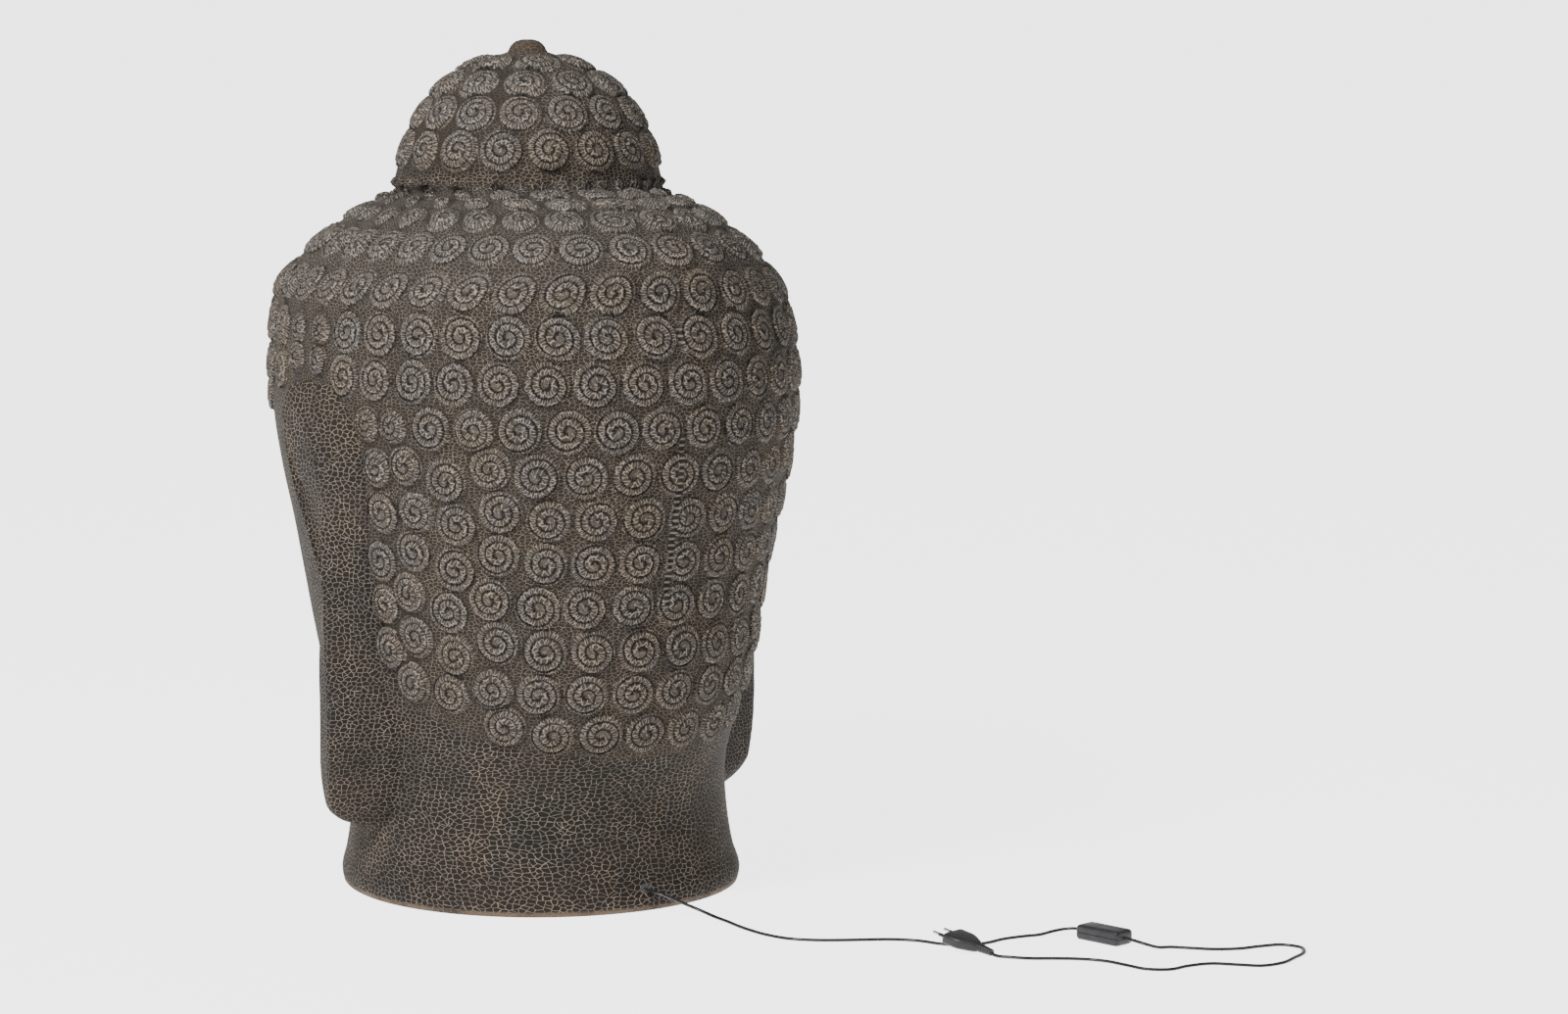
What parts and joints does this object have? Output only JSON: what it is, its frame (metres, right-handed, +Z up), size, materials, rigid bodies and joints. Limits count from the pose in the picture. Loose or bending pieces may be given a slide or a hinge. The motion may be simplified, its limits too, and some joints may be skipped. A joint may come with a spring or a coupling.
{
  "type": "buddha head sculpture with a mains lead",
  "caption": "Large cast head with a cap of spiral curls, a domed topknot and long ears, with a flat mains lead, an inline box and a two-pin plug.",
  "frame": {"origin": "middle of the head's box on the floor, on the flat underside of the neck", "axes": "+Z up, the face looks along -Y, the figure's left ear is at +X"},
  "size_m": [0.8497, 1.2472, 1],
  "materials": {
    "dark_cast": "matt, with a fine net of raised pale lines",
    "black_rubber": "matt",
    "black_flex": "satin",
    "black_plastic": "satin",
    "plug_pins": "nickel plated"
  },
  "bodies": {
    "root": {"head": "dark_cast", "bushing": "black_rubber", "lead_to_box": "black_flex", "inline_box": "black_plastic", "lead_to_plug": "black_flex", "plug": "black_plastic", "plug_pin_1": "plug_pins", "plug_pin_2": "plug_pins"}
  },
  "joints": []
}
